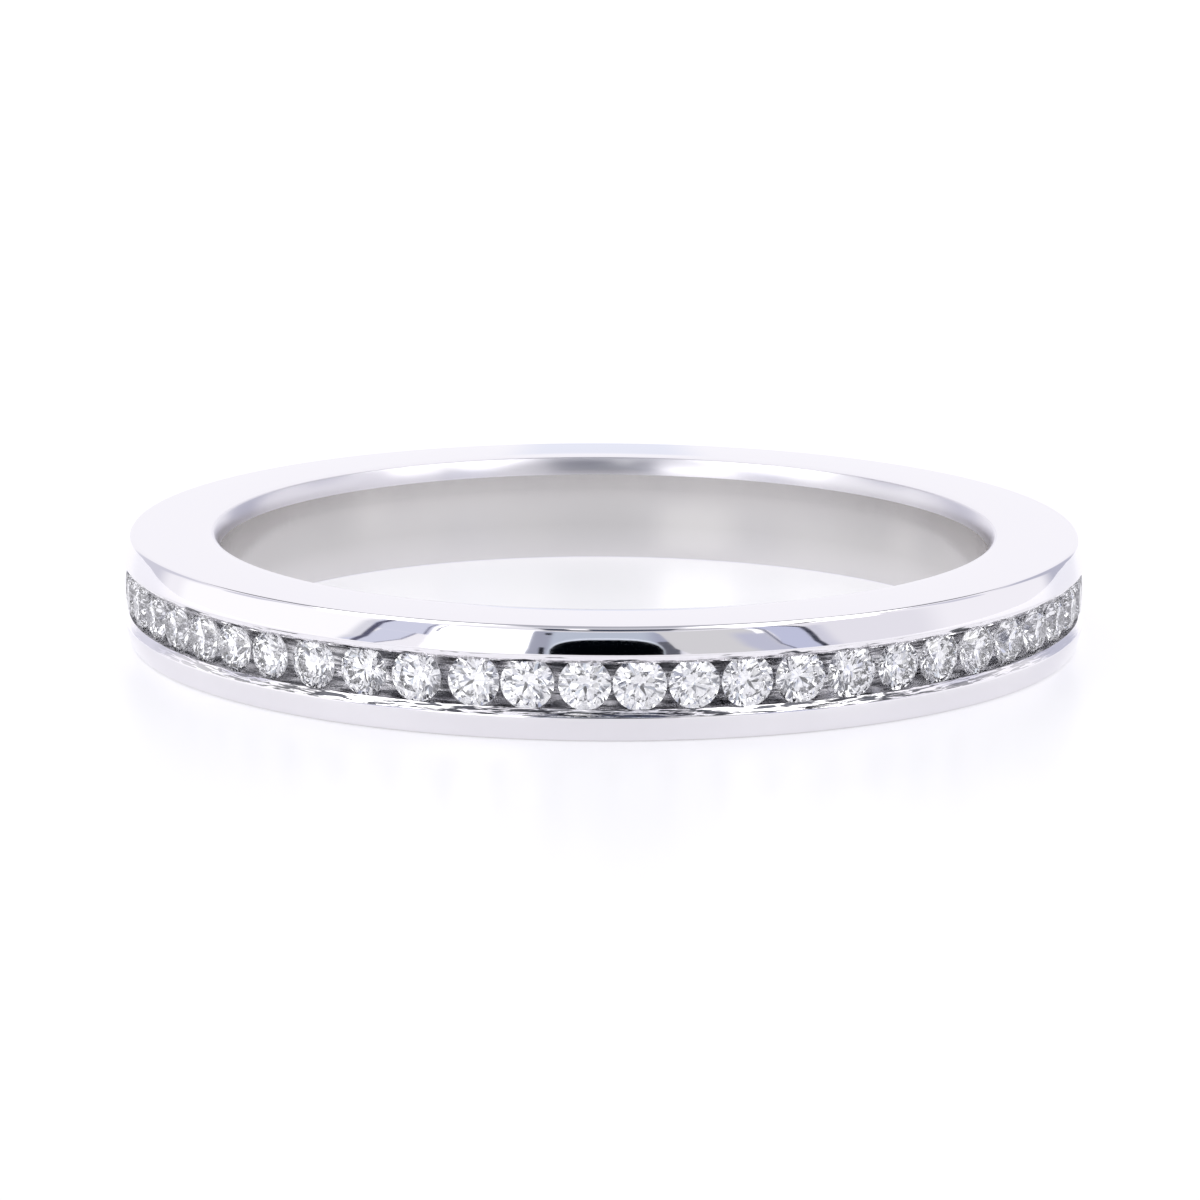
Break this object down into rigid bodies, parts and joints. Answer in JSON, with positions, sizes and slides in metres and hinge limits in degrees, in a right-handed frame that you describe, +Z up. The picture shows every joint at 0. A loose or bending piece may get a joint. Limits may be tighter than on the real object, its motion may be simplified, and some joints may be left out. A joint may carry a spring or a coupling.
{
  "type": "channel set band",
  "caption": "Polished precious metal finger ring with a channel round its outside that holds a full row of small round brilliants between two plain rails.",
  "frame": {"origin": "centre of the lower side face on the finger axis, at the bottom centre of the box; the ring lies on its side", "axes": "+Z up along the finger axis, -Y towards the viewer of the picture, +X to the viewer's right"},
  "size_m": [0.021, 0.021, 0.0024],
  "materials": {
    "white_gold": "mirror polished, rhodium plated",
    "diamond": "polished facets"
  },
  "bodies": {
    "root": {"band": "white_gold", "stones": "diamond"}
  },
  "joints": []
}
